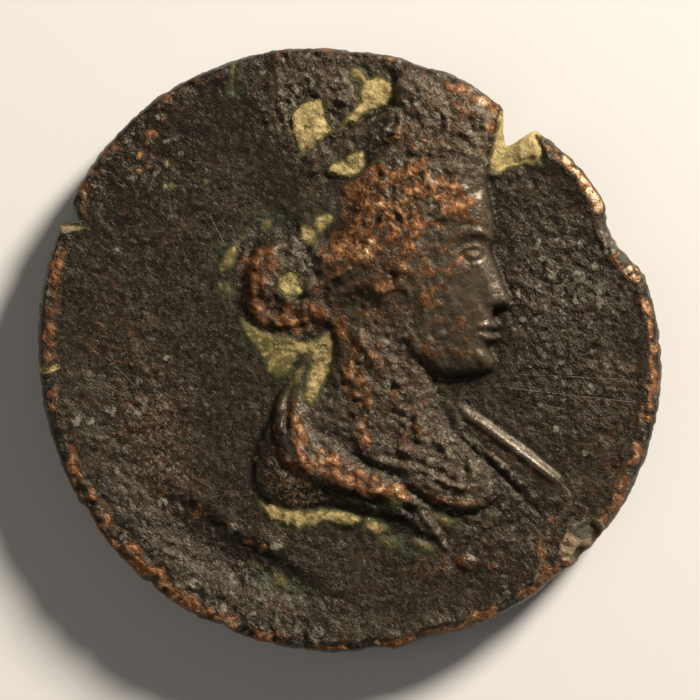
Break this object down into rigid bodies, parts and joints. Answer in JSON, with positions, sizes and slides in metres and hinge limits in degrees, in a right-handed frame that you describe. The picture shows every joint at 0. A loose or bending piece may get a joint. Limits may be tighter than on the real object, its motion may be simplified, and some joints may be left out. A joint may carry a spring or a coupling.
{
  "type": "ancient bronze coin",
  "caption": "Struck bronze coin lying obverse up, a turreted and draped female bust facing right in low relief on a worn, split flan.",
  "frame": {"origin": "under the middle of the outline's box, at the level that the worn high points of the reverse rest on", "axes": "+Z out of the obverse, +Y towards the top of the obverse's picture, +X towards the way that the bust faces"},
  "size_m": [0.021, 0.0204, 0.0032],
  "materials": {
    "patinated_bronze": "near-black brown patina with a fine pitted grain, copper-orange where the relief and the rim are rubbed, pale yellow-tan soil in the recesses"
  },
  "bodies": {
    "root": {"coin": "patinated_bronze"}
  },
  "joints": []
}
